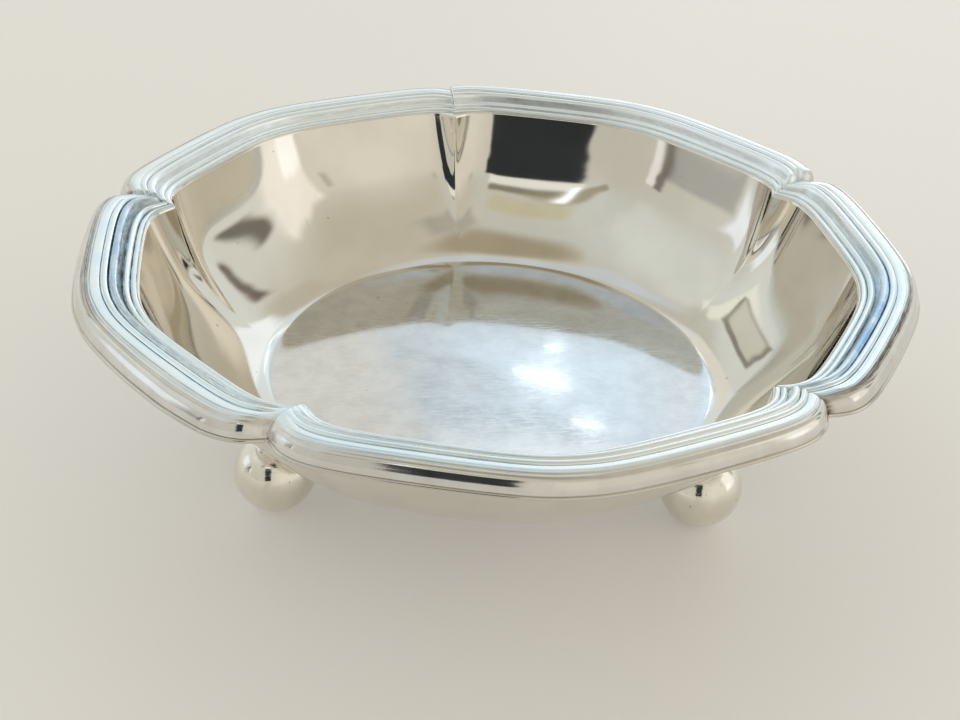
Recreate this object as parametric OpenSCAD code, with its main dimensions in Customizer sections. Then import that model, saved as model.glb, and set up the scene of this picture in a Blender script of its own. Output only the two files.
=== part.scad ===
// Five-lobed salt cellar: a pressed bowl with a flat flange, a reeded border applied in five
// sections mitred at the notches, and three ball feet soldered under the bowl.
// Millimetres, +Z up. The origin is on the table, under the centre of the bowl. +Y points at the
// rear notch and -Y at the middle of the front lobe.

/* [Rim] */
// Distance from the centre to the flat sides of the ten-sided rim
rim_flat_r = 38.25; // [30:0.05:50]
// How crisp the corners in the middle of the lobes are
corner_crispness = 25; // [8:1:60]
// Extra fullness in the middle of each flat side
side_fullness = 0.18; // [0:0.02:0.6]
// Depth of the notches between the lobes
notch_depth = 1.7; // [0.6:0.05:3]
// Half width of a notch at its mouth
notch_half_w = 2; // [1:0.05:4]
// How pointed the notch is, from sharp to rounded
notch_roundness = 1.3; // [1:0.05:2]
// Thickness of the flange
flange_t = 0.35; // [0.3:0.05:1]

/* [Border] */
// Width of the border across its reeds
border_w = 5.45; // [4:0.05:8]
// Height of the tallest reed above the flange
border_h = 1.45; // [0.8:0.05:3]
// Ledge of bare flange left outside and inside the border
border_ledge = 0.12; // [0:0.02:0.4]
// Gap between the ends of two border sections
border_joint = 0.06; // [0.02:0.01:0.3]

/* [Bowl] */
// Radius of the flat floor of the well
floor_r = 21.9; // [16:0.05:28]
// Depth of the well, from the flange's upper face to the floor
well_depth = 13.8; // [8:0.05:24]
// Thickness of the floor
floor_t = 0.75; // [0.4:0.05:1.5]
// Thickness of the wall under the flange
wall_t = 0.75; // [0.4:0.05:1.5]
// Fullness of the wall's curve, from straight to square
wall_fullness = 1.5; // [1.3:0.02:2.5]
// Width of the creases at the floor, as a share of their width at the rim
crease_foot_share = 0.35; // [0.2:0.05:1]
// How early the creases fade on their way down to the floor
crease_fade = 3.5; // [1:0.1:6]

/* [Feet] */
// Diameter of the ball feet
ball_d = 7.8; // [5:0.05:12]
// Diameter of the worn flat under each ball
ball_flat_d = 1.4; // [0.6:0.1:3]
// How far outside the floor's edge the balls stand
foot_out = 1.4; // [-6:0.05:3]
// Gap between the balls and the bowl's flat underside, filled by the solder
foot_gap = 0.3; // [0.1:0.05:1]
// Turn of the rear ball from the rear notch, clockwise positive
foot_turn = 8; // [-12:0.5:12]
// Diameter of the solder where it grips the ball
solder_grip_d = 2.4; // [1.4:0.1:4]
// Diameter of the solder where it spreads on the bowl
solder_spread_d = 4.2; // [2.5:0.1:6]

/* [Hidden] */

$fn = 64;

// Five lobes of two flat sides each, and three feet
lobes = 5;
feet = 3;
lobe_angle = 360/lobes;
side_angle = lobe_angle/2;
rear_notch = 90;

// Steps round one half lobe, and how much closer they lie at the notches and corners
half_lobe_steps = 13;
step_crowding = 0.8;

// Steps up the wall
wall_steps = 7;

// Border profile, as shares of the border's width from the outside, and of its height
ovolo_shares = [0, 0.27];
ovolo_foot_share = 0.06;
ovolo_top_share = 0.74;
ovolo_steps = 4;
// Each reed: its start and end across the border, the height of its valleys and of its crown
reed_shares = [
    [0.295, 0.405, 0.70, 0.98],
    [0.42, 0.53, 0.82, 1],
    [0.545, 0.70, 0.66, 0.93],
    [0.76, 0.875, 0.18, 0.42],
    [0.89, 1, 0.06, 0.18]
];
reed_steps = 3;

// Derived places
ball_r = ball_d/2;
ball_flat_r = ball_flat_d/2;
ball_z = sqrt(ball_r*ball_r - ball_flat_r*ball_flat_r);
floor_under_z = ball_z + ball_r + foot_gap;
floor_z = floor_under_z + floor_t;
rim_z = floor_z + well_depth;
flange_under_z = rim_z - flange_t;
foot_circle_r = floor_r + foot_out;
joint_angle = asin(border_joint/2/rim_flat_r);
solder_steps = 24;
solder_rings = 3;

silver = [0.86, 0.85, 0.83];
border_silver = [0.88, 0.89, 0.91];
solder_grey = [0.68, 0.67, 0.65];

// Outline

// Angle from the nearest notch, from zero to half a lobe
function from_notch(a) =
    let (t = (a - rear_notch)%lobe_angle, u = t < 0 ? t + lobe_angle : t)
    min(u, lobe_angle - u);

// Rounded ten-sided radius at an angle from the notch
function sided_r(s) =
    let (sum = [for (j = [-3:2:3]) pow(max(cos(s - j*side_angle/2), 0), corner_crispness)]*[1, 1, 1, 1])
    rim_flat_r*pow(sum, -1/corner_crispness);

// Radius of the rim's lobes at angle a, as if there were no notches
function lobe_r(a) =
    let (s = from_notch(a))
    sided_r(s) + side_fullness*cos(lobes*(s - side_angle/2));

// How far a notch cuts in at angle a, when it is narrowed to a share of its width
function notch_cut(a, width_share = 1) =
    let (arc = from_notch(a)*PI/180*rim_flat_r)
    notch_depth*exp(-pow(arc/(notch_half_w*width_share), notch_roundness));

function edge_r(a) = lobe_r(a) - notch_cut(a);

// Angle of a step, counted from a notch
function step_angle(i) =
    let (x = i/half_lobe_steps)
    side_angle*(x - step_crowding*sin(360*x)/(2*PI));

// Places in space
function at(r, a, z) = [r*cos(a), r*sin(a), z];

// Wall

// Spread and rise of the wall's curve at a turn from 0 at the floor to 90 at the rim
function wall_spread(turn) = pow(sin(turn), 2/wall_fullness);
function wall_rise(turn) = 1 - pow(cos(turn), 2/wall_fullness);

// Radius of the wall at angle a: the creases under the notches narrow and fade towards the floor
function wall_r(a, spread, t) =
    let (width_share = crease_foot_share + (1 - crease_foot_share)*spread)
    floor_r + (lobe_r(a) - border_w + t - floor_r)*spread
        - notch_cut(a, width_share)*pow(spread, crease_fade);

function wall_point(a, turn, t, low, high) =
    let (spread = wall_spread(turn))
    at(wall_r(a, spread, t), a, low + (high - low)*wall_rise(turn));

// Height of the bowl's underside at radius r and angle a, near the floor where no crease reaches
function underside_z(r, a) =
    let (reach = lobe_r(a) - border_w + wall_t - floor_r,
         spread = min(max((r - floor_r)/reach, 0), 1))
    floor_under_z + (flange_under_z - floor_under_z)*(1 - pow(1 - pow(spread, wall_fullness), 1/wall_fullness));

// Half section of the bowl: up the outside, round the flange and down the inside
function bowl_section(a) = concat(
    [for (i = [0:wall_steps]) wall_point(a, 90*i/wall_steps, wall_t, floor_under_z, flange_under_z)],
    [at(edge_r(a), a, flange_under_z), at(edge_r(a), a, rim_z)],
    [for (i = [wall_steps:-1:0]) wall_point(a, 90*i/wall_steps, 0, floor_z, rim_z)]
);

// Border profile

function ovolo_profile() = [
    for (i = [0:ovolo_steps - 1])
        let (turn = 90*i/(ovolo_steps - 1))
        [ovolo_shares[0] + (ovolo_shares[1] - ovolo_shares[0])*(1 - cos(turn)),
         ovolo_foot_share + (ovolo_top_share - ovolo_foot_share)*sin(turn)]
];

function reed_profile(s) = [
    for (i = [0:reed_steps])
        [s[0] + (s[1] - s[0])*i/reed_steps, s[2] + (s[3] - s[2])*sin(180*i/reed_steps)]
];

border_profile = concat(
    [[0, 0]],
    ovolo_profile(),
    [for (s = reed_shares) each reed_profile(s)],
    [[1, 0]]
);

function border_section_ring(a) = [
    for (p = border_profile)
        at(edge_r(a) - border_ledge - p[0]*(border_w - 2*border_ledge), a, rim_z + p[1]*border_h)
];

// Meshes

// Faces between neighbouring rings of n points, counted from point number first
function band_faces(rings, n, first, closed_round, closed_section) = [
    for (i = [0:(closed_round ? rings - 1 : rings - 2)], j = [0:(closed_section ? n - 1 : n - 2)])
        let (a = first + i*n + j,
             b = first + i*n + (j + 1)%n,
             c = first + ((i + 1)%rings)*n + (j + 1)%n,
             d = first + ((i + 1)%rings)*n + j)
        each [[a, b, c], [a, c, d]]
];

// Closed solid round an axis: each ring is a half section, closed by a low and a high point
module turned_skin(rings, low, high) {
    count = len(rings);
    n = len(rings[0]);
    points = concat([low, high], [for (ring = rings) each ring]);
    low_faces = [for (i = [0:count - 1]) [0, 2 + i*n, 2 + ((i + 1)%count)*n]];
    high_faces = [for (i = [0:count - 1]) [1, 2 + ((i + 1)%count)*n + n - 1, 2 + i*n + n - 1]];
    polyhedron(points, concat(low_faces, high_faces, band_faces(count, n, 2, true, false)));
}

// Closed solid along an arc: each ring is a whole section, and the ends are flat
module arc_skin(rings) {
    count = len(rings);
    n = len(rings[0]);
    start = [[for (j = [n - 1:-1:0]) j]];
    end = [[for (j = [0:n - 1]) (count - 1)*n + j]];
    polyhedron([for (ring = rings) each ring], concat(start, end, band_faces(count, n, 0, false, true)));
}

// Pieces

module bowl() {
    rings = [
        for (k = [0:lobes - 1], i = [0:2*half_lobe_steps - 1])
            bowl_section(rear_notch + k*lobe_angle + step_angle(i))
    ];
    color(silver)
        turned_skin(rings, [0, 0, floor_under_z], [0, 0, floor_z]);
}

// Border section k, counted anticlockwise from the rear notch
module border_section(k) {
    start = rear_notch + k*lobe_angle;
    rings = [
        for (i = [0:2*half_lobe_steps])
            border_section_ring(start + min(max(step_angle(i), joint_angle), lobe_angle - joint_angle))
    ];
    color(border_silver)
        arc_skin(rings);
}

function foot_angle(k) = rear_notch - foot_turn + k*360/feet;

// Ball foot k, counted anticlockwise from the rear one, with a worn flat under it
module ball_foot(k) {
    color(silver)
        translate(at(foot_circle_r, foot_angle(k), 0))
            difference() {
                translate([0, 0, ball_z])
                    sphere(r = ball_r);
                translate([0, 0, -ball_r])
                    cube(2*ball_r, center = true);
            }
}

// Solder between ball k and the bowl: it sits on the ball and spreads on the underside
function solder_section(centre, turn) =
    let (grip = solder_grip_d/2, spread = solder_spread_d/2, waist = (3*grip + spread)/4,
         ball_top = function (d) ball_z + sqrt(ball_r*ball_r - d*d),
         on_ball = function (d) centre + at(d, turn, ball_top(d)),
         on_bowl = function (d) let (p = centre + at(d, turn, 0))
             [p.x, p.y, underside_z(norm([p.x, p.y]), atan2(p.y, p.x))],
         neck = (on_ball(grip) + on_bowl(waist))/2)
    concat(
        [for (i = [1:solder_rings]) on_ball(grip*i/solder_rings)],
        [[neck.x, neck.y, neck.z]],
        [for (i = [solder_rings:-1:1]) on_bowl(spread*i/solder_rings)]
    );

module foot_solder(k) {
    centre = at(foot_circle_r, foot_angle(k), 0);
    rings = [for (i = [0:solder_steps - 1]) solder_section(centre, 360*i/solder_steps)];
    low = centre + [0, 0, ball_z + ball_r];
    high = [centre.x, centre.y, underside_z(foot_circle_r, foot_angle(k))];
    color(solder_grey)
        turned_skin(rings, low, high);
}

bowl();
border_section(0);  // border_back_left
border_section(1);  // border_left
border_section(2);  // border_front
border_section(3);  // border_right
border_section(4);  // border_back_right
ball_foot(0);  // foot_rear
ball_foot(1);  // foot_front_left
ball_foot(2);  // foot_front_right
foot_solder(0);  // solder_rear
foot_solder(1);  // solder_front_left
foot_solder(2);  // solder_front_right
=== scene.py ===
"""Five-lobed silver salt cellar on ball feet: its finish, a pale floor, soft light and the camera."""

import math
from collections import namedtuple

import bpy
import numpy as np
from mathutils import Matrix, Vector, noise


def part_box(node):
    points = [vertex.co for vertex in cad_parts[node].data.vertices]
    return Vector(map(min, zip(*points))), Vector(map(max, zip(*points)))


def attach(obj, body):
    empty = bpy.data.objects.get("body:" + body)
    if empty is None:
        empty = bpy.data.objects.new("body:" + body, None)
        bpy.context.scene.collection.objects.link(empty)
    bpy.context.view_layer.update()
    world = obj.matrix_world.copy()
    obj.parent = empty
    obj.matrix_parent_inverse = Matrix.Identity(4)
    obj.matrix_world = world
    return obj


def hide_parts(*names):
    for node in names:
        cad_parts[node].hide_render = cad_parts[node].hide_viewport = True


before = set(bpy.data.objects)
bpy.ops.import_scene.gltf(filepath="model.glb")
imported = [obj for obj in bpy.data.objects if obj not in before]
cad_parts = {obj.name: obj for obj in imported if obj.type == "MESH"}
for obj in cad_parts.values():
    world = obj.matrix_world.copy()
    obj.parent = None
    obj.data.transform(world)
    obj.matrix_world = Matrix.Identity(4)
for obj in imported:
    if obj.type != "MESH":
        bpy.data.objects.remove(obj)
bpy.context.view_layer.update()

# Sizes are in millimetres and angles in degrees, unless a name says otherwise
MM = 0.001

# Rim, as in the CAD source
LOBES = 5
LOBE_ANGLE = 360/LOBES
SIDE_ANGLE = LOBE_ANGLE/2
REAR_NOTCH = 90
RIM_FLAT_R = 38.25
CORNER_CRISPNESS = 25
SIDE_FULLNESS = 0.18
NOTCH_DEPTH = 1.7
NOTCH_HALF_W = 2
NOTCH_ROUNDNESS = 1.3
BORDER_W = 5.45
BORDER_H = 1.45
BORDER_LEDGE = 0.12
# Gap between neighbouring sections, closer than in the CAD source
BORDER_JOINT = 0.02

# Bowl, as in the CAD source
FLOOR_R = 21.9
FLOOR_T = 0.75
WALL_T = 0.75
FLANGE_T = 0.35
WALL_FULLNESS = 1.5
CREASE_FOOT_SHARE = 0.35
CREASE_FADE = 3.5

# Heights read from the frame
FLOOR_UNDER_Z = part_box("bowl")[0].z/MM
RIM_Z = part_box("bowl")[1].z/MM
FLOOR_Z = FLOOR_UNDER_Z + FLOOR_T
FLANGE_UNDER_Z = RIM_Z - FLANGE_T

# Steps of the smooth meshes
HALF_LOBE_STEPS = 44
STEP_CROWDING = 0.8
WALL_STEPS = 44
FLOOR_RINGS = 16
FLANGE_STEPS = 6
ROUND_STEPS = 6
# Turn along the wall's curve at each of its rings, from the floor to the flange
WALL_TURNS = 90*(np.arange(WALL_STEPS + 1)/WALL_STEPS)
# Edges of a mesh that turn by more than this stay sharp
SHARP_ANGLE = 40
BORDER_SHARP_ANGLE = 80

# Small radii of the pressed sheet
FLANGE_BEND_R = 0.55
LIP_R = 0.1
# How gently the wall leaves the floor, as a share of the wall's reach
FLOOR_BEND_SHARE = 0.05
# Share of the reach beyond which the wall's lean to the flange is evened out
LEAN_START = 0.75
# The rim bulges on the left lobe: shares along the lobe, and how far there
FLARE_LOBE = 1
FLARE_PLACES = (0, 0.15, 0.35, 0.5, 0.6, 0.7, 0.8, 0.9, 0.97, 1)
FLARE_REACHES = (0, 0.15, 0.28, 0.35, 0.5, 0.72, 0.82, 0.6, 0.2, 0)
# The border follows the bulge less and less from its outer edge to this share across
FLARE_END = 0.42
# On the flange's upper face the bulge reaches this far in from the edge
FLARE_INSET = 0.5
# Places on the flange's upper face, measured in from its edge
FLANGE_OFFSETS = (0.2, 0.24, 0.28, 0.33, 0.4, 0.55, 1.6, 3.0, 4.4)


# Outline

def from_notch(a):
    """Angle from the nearest notch, from zero to half a lobe."""
    u = np.mod(a - REAR_NOTCH, LOBE_ANGLE)
    return np.minimum(u, LOBE_ANGLE - u)


def cosd(a):
    return np.cos(np.radians(a))


def sind(a):
    return np.sin(np.radians(a))


def lobe_r(a):
    """Radius of the rim's lobes at angle a, as if there were no notches."""
    s = from_notch(a)
    total = sum(np.maximum(cosd(s - j*SIDE_ANGLE/2), 0)**CORNER_CRISPNESS for j in (-3, -1, 1, 3))
    return RIM_FLAT_R*total**(-1/CORNER_CRISPNESS) + SIDE_FULLNESS*cosd(LOBES*(s - SIDE_ANGLE/2))


def notch_cut(a, width_share=1.0):
    """How far a notch cuts in at angle a, when it is narrowed to a share of its width."""
    arc = np.radians(from_notch(a))*RIM_FLAT_R
    return NOTCH_DEPTH*np.exp(-(arc/(NOTCH_HALF_W*width_share))**NOTCH_ROUNDNESS)


def edge_r(a):
    """Radius of the rim's outline at angle a, notches included."""
    return lobe_r(a) - notch_cut(a)


def flare(a):
    """How far the rim bulges beyond the outline at angle a."""
    along = np.mod(a - REAR_NOTCH - FLARE_LOBE*LOBE_ANGLE, 360)/LOBE_ANGLE
    return np.interp(along, FLARE_PLACES, FLARE_REACHES, right=0)


def lobe_steps(steps):
    """Angles from one notch to the next, closer together at the notches and at the corner."""
    x = np.arange(2*steps + 1)/steps
    return SIDE_ANGLE*(x - STEP_CROWDING*sind(360*x)/(2*math.pi))


# Bowl

def wall_spread(turn):
    """Share of the wall's reach at a turn along its curve."""
    return sind(turn)**(2/WALL_FULLNESS)


def wall_rise(turn):
    """Share of the wall's height at a turn along its curve."""
    return 1 - np.maximum(cosd(turn), 0)**(2/WALL_FULLNESS)


def soft_share(share):
    """Share of the reach that is never negative and eases in on both sides of zero."""
    return FLOOR_BEND_SHARE*np.logaddexp(0, share/FLOOR_BEND_SHARE)


def inner_rise(share):
    """Share of the well's height at a share of the wall's reach; inside the floor it tends to zero."""
    x = np.minimum(soft_share(share), 1)
    low = np.minimum(x, LEAN_START)
    foot = 1 - low**WALL_FULLNESS
    rise = 1 - foot**(1/WALL_FULLNESS)
    slope = foot**(1/WALL_FULLNESS - 1)*low**(WALL_FULLNESS - 1)
    run = x - low
    width = 1 - LEAN_START
    return rise + slope*run + (1 - rise - slope*width)*(run/width)**2


def wall_r(a, spread, t):
    """Radius of the wall, set out by t: the creases under the notches narrow and fade towards the floor."""
    width_share = CREASE_FOOT_SHARE + (1 - CREASE_FOOT_SHARE)*spread
    reach = lobe_r(a) - BORDER_W + t - FLOOR_R
    return FLOOR_R + reach*spread - notch_cut(a, width_share)*spread**CREASE_FADE


def arc_line(r, z, radius, start, stop):
    """Radii and heights along a small round from angle start to stop, about the point (r, z)."""
    turn = np.linspace(start, stop, ROUND_STEPS + 1)[:, None]
    return r + radius*cosd(turn), z + radius*sind(turn) + 0*r


# Distance given to all points that aren't on the flange's edge or upper face
FAR_FROM_EDGE = 9.0
# Dark band along the border's foot: partly dirt, partly painted shade in the crevice under the moulding
# Places round the rim, counted in lobes anticlockwise from the rear notch, and the dark band's depth there
DIRT_AND_SHADE_PLACES = (0, 1, 1.2, 1.9, 2.05, 2.2, 2.9, 3, 3.1, 3.7, 4, 5)
DIRT_AND_SHADE_DEPTHS = (0.1, 0.3, 0.9, 1, 0.4, 0.05, 0.1, 0.8, 1, 0.6, 0.1, 0.1)


def bowl_stretches(a):
    """Radii and heights along the bowl's section, from the middle of its underside to that of its floor."""
    ring = 0*a[None, :]
    spread = wall_spread(WALL_TURNS)[:, None]
    floor_shares = 1 - (1 - (np.arange(FLOOR_RINGS) + 1)[:, None]/FLOOR_RINGS)**2
    under_r = FLOOR_R*floor_shares[:-1] + ring
    # Outside of the wall, up to the bend under the flange
    out_r = wall_r(a[None, :], spread, WALL_T)
    out_z = FLOOR_UNDER_Z + (FLANGE_UNDER_Z - FLOOR_UNDER_Z)*wall_rise(WALL_TURNS)[:, None] + ring
    outside = out_z[:, 0] < FLANGE_UNDER_Z - FLANGE_BEND_R
    bend = arc_line(out_r[-1:] + FLANGE_BEND_R, FLANGE_UNDER_Z - FLANGE_BEND_R, FLANGE_BEND_R, 180, 90)
    # Flange
    edge = (edge_r(a) + flare(a))[None, :]
    half_t = FLANGE_T/2
    bend_end = bend[0][-1:]
    flange_under_r = bend_end + (edge - half_t - bend_end)*np.linspace(0, 1, FLANGE_STEPS)[1:-1, None]
    offsets = np.array(FLANGE_OFFSETS)[:, None]
    flange_top_r = edge_r(a)[None, :] + flare(a)[None, :]*(offsets < FLARE_INSET) - offsets
    # Inside of the wall, down from the lip, and the floor
    in_r = wall_r(a[None, :], spread, 0)
    in_z = FLOOR_Z + (RIM_Z - FLOOR_Z)*inner_rise(spread + ring)
    inside = in_z[:, 0] < RIM_Z - LIP_R
    reach = lobe_r(a)[None, :] - BORDER_W - FLOOR_R
    floor_r = FLOOR_R*floor_shares[::-1][1:] + ring
    return {
        "under": (under_r, FLOOR_UNDER_Z + 0*under_r),
        "outside": (out_r[outside], out_z[outside]),
        "bend": bend,
        "flange_under": (flange_under_r, FLANGE_UNDER_Z + 0*flange_under_r),
        "flange_edge": arc_line(edge - half_t, FLANGE_UNDER_Z + half_t, half_t, -90, 90),
        "flange_top": (flange_top_r, RIM_Z + 0*flange_top_r),
        "lip": arc_line(in_r[-1:] + LIP_R, RIM_Z - LIP_R, LIP_R, 90, 180),
        "inside": (in_r[inside][::-1], in_z[inside][::-1]),
        "floor": (floor_r, FLOOR_Z + (RIM_Z - FLOOR_Z)*inner_rise((floor_r - FLOOR_R)/reach)),
    }


def bowl_lines(a):
    """Radii and heights of the whole section, and two values that the bowl's material reads.

    These say which points are on the floor, and how far each is from the flange's edge.
    """
    stretches = bowl_stretches(a)
    edge_distances = {"flange_edge": 0, "flange_top": np.array(FLANGE_OFFSETS)}
    on_floor, from_edge = [], []
    for name, (radii, _) in stretches.items():
        count = len(radii)
        on_floor.append(np.full(count, float(name == "floor")))
        from_edge.append(np.zeros(count) + edge_distances.get(name, FAR_FROM_EDGE))
    r = np.concatenate([stretch[0] for stretch in stretches.values()])
    z = np.concatenate([stretch[1] for stretch in stretches.values()])
    return r, z, np.concatenate(on_floor), np.concatenate(from_edge)


def dirt_and_shade_round(a):
    """Depth of the dark band along the border's foot, partly dirt and partly painted shade, which gathers
    on the two side lobes.
    """
    along = np.mod(a - REAR_NOTCH, 360)/LOBE_ANGLE
    return np.interp(along, DIRT_AND_SHADE_PLACES, DIRT_AND_SHADE_DEPTHS)


# Hand wobble of the pressed sheet, so that the reflections wander a little
WOBBLE = 0.035
WOBBLE_LENGTH = 11
# Without a seed the field would depend on the clock, and each run would give another bowl
WOBBLE_SEED = 1796044393
# Places in the random field, so that the border and the feet wander in their own ways
BORDER_WOBBLE_PLACE = 0.37
FOOT_WOBBLE_PLACE = 1.3


def wobbled(points, amount=WOBBLE, length=WOBBLE_LENGTH, place=0.0):
    """Points moved by a smooth random field of the given height and length, from a place in it."""
    noise.seed_set(WOBBLE_SEED)
    shift = Vector((place, 2*place, 3*place))
    moves = [noise.noise_vector(Vector(p)/length + shift) for p in points]
    return points + amount*np.array(moves)


def mesh_object(name, points, faces, sharp=SHARP_ANGLE):
    """New object from points in millimetres, shaded smooth but for its sharp edges."""
    mesh = bpy.data.meshes.new(name)
    mesh.from_pydata((np.asarray(points)*MM).tolist(), [], faces)
    mesh.validate()
    mesh.shade_smooth()
    mesh.set_sharp_from_angle(angle=math.radians(sharp))
    piece = bpy.data.objects.new(name, mesh)
    bpy.context.scene.collection.objects.link(piece)
    return piece


def add_values(piece, name, values):
    """Stores one number for each point, which the material reads."""
    attribute = piece.data.attributes.new(name, "FLOAT", "POINT")
    attribute.data.foreach_set("value", np.asarray(values, np.float32).ravel())


def rings_of(r, z, a):
    """Points of the sections, one angle after another."""
    x, y = r*cosd(a), r*sind(a)
    return np.stack([x.T, y.T, (z + 0*r).T], -1).reshape(-1, 3)


def turned_faces(count, n):
    """Quads between neighbouring sections of n points round an axis, with fans at the two poles."""
    faces = []
    for i in range(count):
        k = (i + 1) % count
        faces += [(i*n + j, k*n + j, k*n + j + 1, i*n + j + 1) for j in range(n - 1)]
        faces.append((count*n, k*n, i*n))
        faces.append((count*n + 1, i*n + n - 1, k*n + n - 1))
    return faces


def round_angles():
    """Angles all the way round, closer together at the notches and at the corners."""
    one = lobe_steps(HALF_LOBE_STEPS)[:-1]
    return np.concatenate([REAR_NOTCH + k*LOBE_ANGLE + one for k in range(LOBES)])


def make_bowl():
    """Pressed bowl with its flange, closed at the middle of its underside and of its floor."""
    a = round_angles()
    r, z, on_floor, from_edge = bowl_lines(a)
    points = rings_of(r, z, a)
    points = np.vstack([points, [0, 0, FLOOR_UNDER_Z], [0, 0, FLOOR_Z]])
    bowl = mesh_object("pressed_bowl", wobbled(points), turned_faces(len(a), len(r)))
    add_values(bowl, "on_floor", np.append(np.tile(on_floor, len(a)), [0, 1]))
    add_values(bowl, "from_edge", np.append(np.tile(from_edge, len(a)), [FAR_FROM_EDGE, FAR_FROM_EDGE]))
    add_values(bowl, "dirt_and_shade", np.append(np.repeat(dirt_and_shade_round(a), len(r)), [0, 0]))
    return bowl


# Border: shares of its width from the outside, and of its height
OVOLO_START_SHARE = 0.015
OVOLO_END_SHARE = 0.172
OVOLO_FOOT_SHARE = 0.05
OVOLO_TOP_SHARE = 0.92
# How far the outer moulding's face has turned upwards, at shares of its length
OVOLO_PLACES = (0, 0.28, 0.66, 1)
OVOLO_TURNS = (2, 17.5, 35, 85)
OVOLO_STEPS = 24
# Each reed: its start and end across the border, the height of its valleys and of its crown
REED_SHARES = (
    (0.19, 0.408, 0.86, 0.985),
    (0.416, 0.533, 0.84, 1),
    (0.541, 0.70, 0.69, 0.95),
    (0.76, 0.878, 0.18, 0.40),
    (0.886, 1, 0.04, 0.18),
)
REED_STEPS = 12
REED_ROUNDNESS = 1.25
# Kinds of section ends: the length over which one is tucked under its neighbour and the share of the
# height that this takes, the length over which it is rounded off and the share that this takes, how
# much of the notch it follows, the length over which its reeds melt together and the shape that they
# melt into, and the depth of dirt in the seam
End = namedtuple("End", "tuck_length tuck round_length drop follow melt_length melt_shape dirt")
ENDS = {
    "plain": End(2.4, 0.1, 0.3, 0.07, 0.3, 0, "even", 0.1),
    "merged": End(2.4, 0.16, 0.3, 0.07, 1.0, 1.8, "even", 0.1),
    "low": End(2.6, 0.32, 0.3, 0.05, 1.0, 0, "even", 0.3),
    "dirty": End(2.2, 0.2, 0.3, 0.05, 1.0, 0, "even", 1.0),
    "rounded": End(1, 0, 0.55, 0.75, 1.0, 0, "even", 0.3),
    "square": End(1, 0, 0.12, 0.15, 1.0, 0, "even", 0.0),
    "straight": End(1, 0, 0.15, 0.2, 0.25, 0, "even", 0.0),
    "melted": End(1, 0, 0.5, 0.2, 1.0, 3.4, "even", 0.0),
    "knobbed": End(1, 0, 0.12, 0.05, 0.8, 2.0, "knobs", 0.0),
}
# Rolls of a knobbed end: the middle and half width of each across the border, and its height, as shares
KNOBS = ((0.235, 0.225, 1), (0.63, 0.18, 0.97), (0.91, 0.09, 0.3))
# Evenly melted reeds make one rounded hump: how far it leans outwards and how full it is
EVEN_LEAN = 0.75
EVEN_FULLNESS = 0.7
# No part of a section is lower than this share of the border's height
LEAST_SHARE = 0.02


def melted_height(across, e, shape):
    """Height share that melted reeds take, at a share across and at a distance from the end."""
    if shape == "even":
        return np.maximum(sind(180*across**EVEN_LEAN), 0)**EVEN_FULLNESS + 0*e
    height = 0*(across + e)
    for middle, half, top in KNOBS:
        u = (across - middle)/half
        w = 1 - np.minimum(e/(half*BORDER_W), 1)
        height = np.maximum(height, top*np.sqrt(np.maximum(1 - u*u - w*w, 0)))
    return height


def border_profile():
    """Shares across and up the border, from the outer foot to the inner one."""
    turn = np.interp((np.arange(OVOLO_STEPS) + 0.5)/OVOLO_STEPS, OVOLO_PLACES, OVOLO_TURNS)
    run = np.concatenate([[0], np.cumsum(sind(turn))])
    rise = np.concatenate([[0], np.cumsum(cosd(turn))])
    across = [OVOLO_START_SHARE + (OVOLO_END_SHARE - OVOLO_START_SHARE)*run/run[-1]]
    up = [OVOLO_FOOT_SHARE + (OVOLO_TOP_SHARE - OVOLO_FOOT_SHARE)*rise/rise[-1]]
    for start, end, valley, crown in REED_SHARES:
        turn = np.linspace(0, 180, REED_STEPS + 1)
        across.append(start + (end - start)*(1 - cosd(turn))/2)
        up.append(valley + (crown - valley)*sind(turn)**REED_ROUNDNESS)
    return np.concatenate(across), np.concatenate(up)


# Rings added near each end of a section, over a length, and how they crowd towards the end
END_STEPS = 15
END_STEPS_LENGTH = 1.8
END_CROWDING = 1.5
SEAM_DIRT_LENGTH = 0.35
# What the material reads as the place along the border grows by this much from section to section
SECTION_STRIDE = 100


def ease(x):
    """Smooth step from zero to one."""
    x = np.clip(x, 0, 1)
    return x*x*(3 - 2*x)


def end_height(e, end):
    """Height of a section at distance e from its end, as a share of the full height."""
    tucked = 1 - end.tuck*(1 - ease(e/end.tuck_length))
    rounded = 1 - np.sqrt(1 - (1 - np.minimum(e/end.round_length, 1))**2)
    return tucked*(1 - end.drop*rounded)


def end_melt(e, end):
    """How far the reeds have melted together at distance e from the end."""
    return 1 - ease(e/end.melt_length) if end.melt_length else 0*e


def section_steps():
    """Angles along a section from the notch before it, between its two joints and crowded at its ends."""
    joint_angle = math.degrees(math.asin(BORDER_JOINT/2/RIM_FLAT_R))
    steps = np.clip(lobe_steps(HALF_LOBE_STEPS), joint_angle, LOBE_ANGLE - joint_angle)
    near_end = END_STEPS_LENGTH*np.linspace(0, 1, END_STEPS)[1:]**END_CROWDING
    close = joint_angle + np.degrees(near_end/RIM_FLAT_R)
    return np.unique(np.concatenate([steps, close, LOBE_ANGLE - close]))


def strip_faces(count, n):
    """Quads round a strip of count rings of n points, and over its two ends."""
    faces = []
    for i in range(count - 1):
        for j in range(n):
            q = (j + 1) % n
            faces.append((i*n + j, i*n + q, (i + 1)*n + q, (i + 1)*n + j))
    last_ring = (count - 1)*n
    for j in range(n//2 - 1):
        faces.append((j + 1, j, n - 1 - j, n - 2 - j))
        faces.append((last_ring + j, last_ring + j + 1, last_ring + n - 2 - j, last_ring + n - 1 - j))
    return faces


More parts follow.
